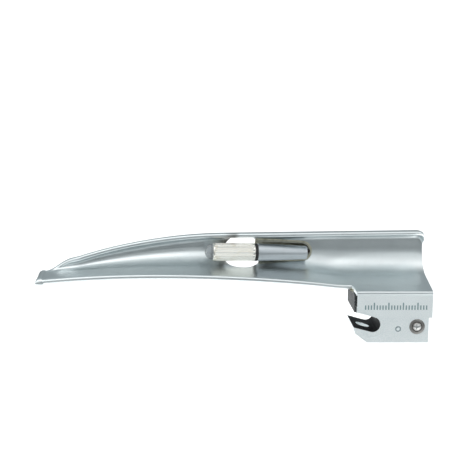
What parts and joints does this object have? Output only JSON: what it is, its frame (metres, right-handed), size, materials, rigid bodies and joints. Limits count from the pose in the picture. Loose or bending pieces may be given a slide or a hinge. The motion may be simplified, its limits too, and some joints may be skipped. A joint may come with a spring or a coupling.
{
  "type": "laryngoscope blade",
  "caption": "Hook-on laryngoscope blade: curved spatula with raised flange and lip, screw-in lamp in a tapered socket, and a solid base block with hook slot and detent balls.",
  "frame": {"origin": "centre of the hinge-pin seat at the end of the hook slot, midway across the tongue", "axes": "+X along the blade towards the heel (the tip is at -X), +Y from the blade's open side to its back, +Z from the block's bottom up to the flange"},
  "size_m": [0.1083, 0.0182, 0.0289],
  "materials": {
    "satin_steel": "satin",
    "block_steel": "bead blasted",
    "bright_steel": "polished",
    "spring_steel": "drawn",
    "braze": "dull",
    "contact_brass": "polished",
    "nickel_cap": "nickel plated, fluted",
    "black_insulator": "matte",
    "pale_insulator": "matte",
    "black_rubber": "matte",
    "lamp_glass": "clear",
    "bead_glass": "fused",
    "filament": "drawn tungsten",
    "solder": "dull",
    "wire_jacket": "smooth",
    "copper": "bare"
  },
  "bodies": {
    "frame": {"blade": "satin_steel", "base_block": "block_steel", "block_braze": "braze", "socket_cradle": "satin_steel", "cradle_braze": "braze", "socket_solder": "solder", "lamp_socket": "satin_steel", "socket_insulator": "pale_insulator", "socket_spring": "spring_steel", "wire_conduit": "satin_steel", "conduit_solder": "solder", "wire_insulation": "wire_jacket", "wire_core": "copper", "block_contact": "contact_brass", "contact_insulator": "black_insulator", "detent_sleeve_front": "spring_steel", "detent_sleeve_rear": "spring_steel", "detent_spring_front": "spring_steel", "detent_spring_rear": "spring_steel"},
    "washer": {"lamp_washer": "black_rubber"},
    "lamp": {"lamp_cap": "nickel_cap", "lamp_stem": "contact_brass", "lamp_glass": "lamp_glass", "lamp_glass_bead": "bead_glass", "lamp_lead_wires": "spring_steel", "lamp_filament": "filament", "lamp_insulator": "black_insulator", "lamp_tip_contact": "solder"},
    "contact_pin": {"socket_contact_pin": "contact_brass"},
    "ball_front": {"detent_ball_front": "bright_steel"},
    "ball_rear": {"detent_ball_rear": "bright_steel"}
  },
  "joints": [
    {"name": "lamp_travel", "type": "slide", "parent": "frame", "child": "washer", "axis": [-0.9897, -0.1391, 0.0349], "range_m": [0, 0.0044]},
    {"name": "lamp_turn", "type": "hinge", "parent": "washer", "child": "lamp", "pos_m": [-0.0309, 0.0047, 0.01775], "axis": [-0.9897, -0.1391, 0.0349], "range_deg": [0, 2525]},
    {"name": "contact_travel", "type": "slide", "parent": "frame", "child": "contact_pin", "axis": [0.9897, 0.1391, -0.0349], "range_m": [0, 0.0005], "stiffness_N_per_m": 400, "springref_m": -0.0008, "deforming": ["socket_spring"]},
    {"name": "front_ball_travel", "type": "slide", "parent": "frame", "child": "ball_front", "axis": [0, 1, 0], "range_m": [0, 0.0006], "stiffness_N_per_m": 1500, "springref_m": -0.0006, "deforming": ["detent_spring_front"]},
    {"name": "rear_ball_travel", "type": "slide", "parent": "frame", "child": "ball_rear", "axis": [0, -1, 0], "range_m": [0, 0.0006], "stiffness_N_per_m": 1500, "springref_m": -0.0006, "deforming": ["detent_spring_rear"]}
  ],
  "couplings": [
    {"joint": "lamp_turn", "follows": "lamp_travel", "rad_per_m": 10000}
  ]
}
